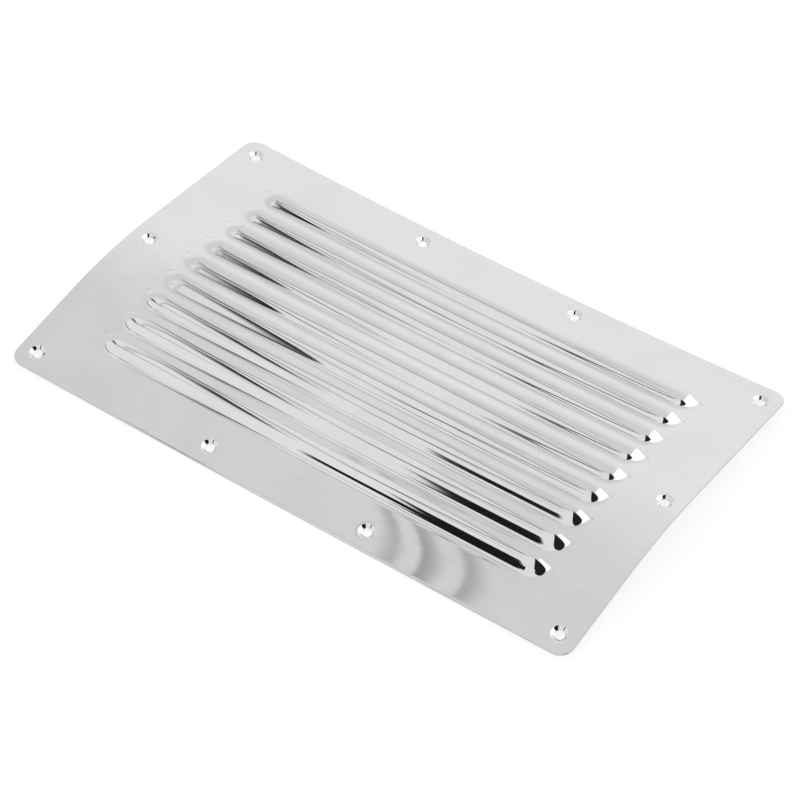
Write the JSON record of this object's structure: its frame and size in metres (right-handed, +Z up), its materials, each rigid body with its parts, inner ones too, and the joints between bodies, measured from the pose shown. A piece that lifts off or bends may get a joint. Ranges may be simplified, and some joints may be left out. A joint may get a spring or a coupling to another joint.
{
  "type": "louvred sheet metal panel",
  "caption": "Rectangular ventilation panel pressed from one polished steel sheet, gently arched, with long louvres and countersunk screw seats round its rim.",
  "frame": {"origin": "middle of the footprint, on the surface that the panel lies on", "axes": "+X along the louvres, +Y towards the side that the louvre mouths face, +Z up, out of the crowned face"},
  "size_m": [0.34, 0.206, 0.0158],
  "materials": {
    "polished_stainless": "polished"
  },
  "bodies": {
    "root": {"louvre_panel": "polished_stainless"}
  },
  "joints": []
}
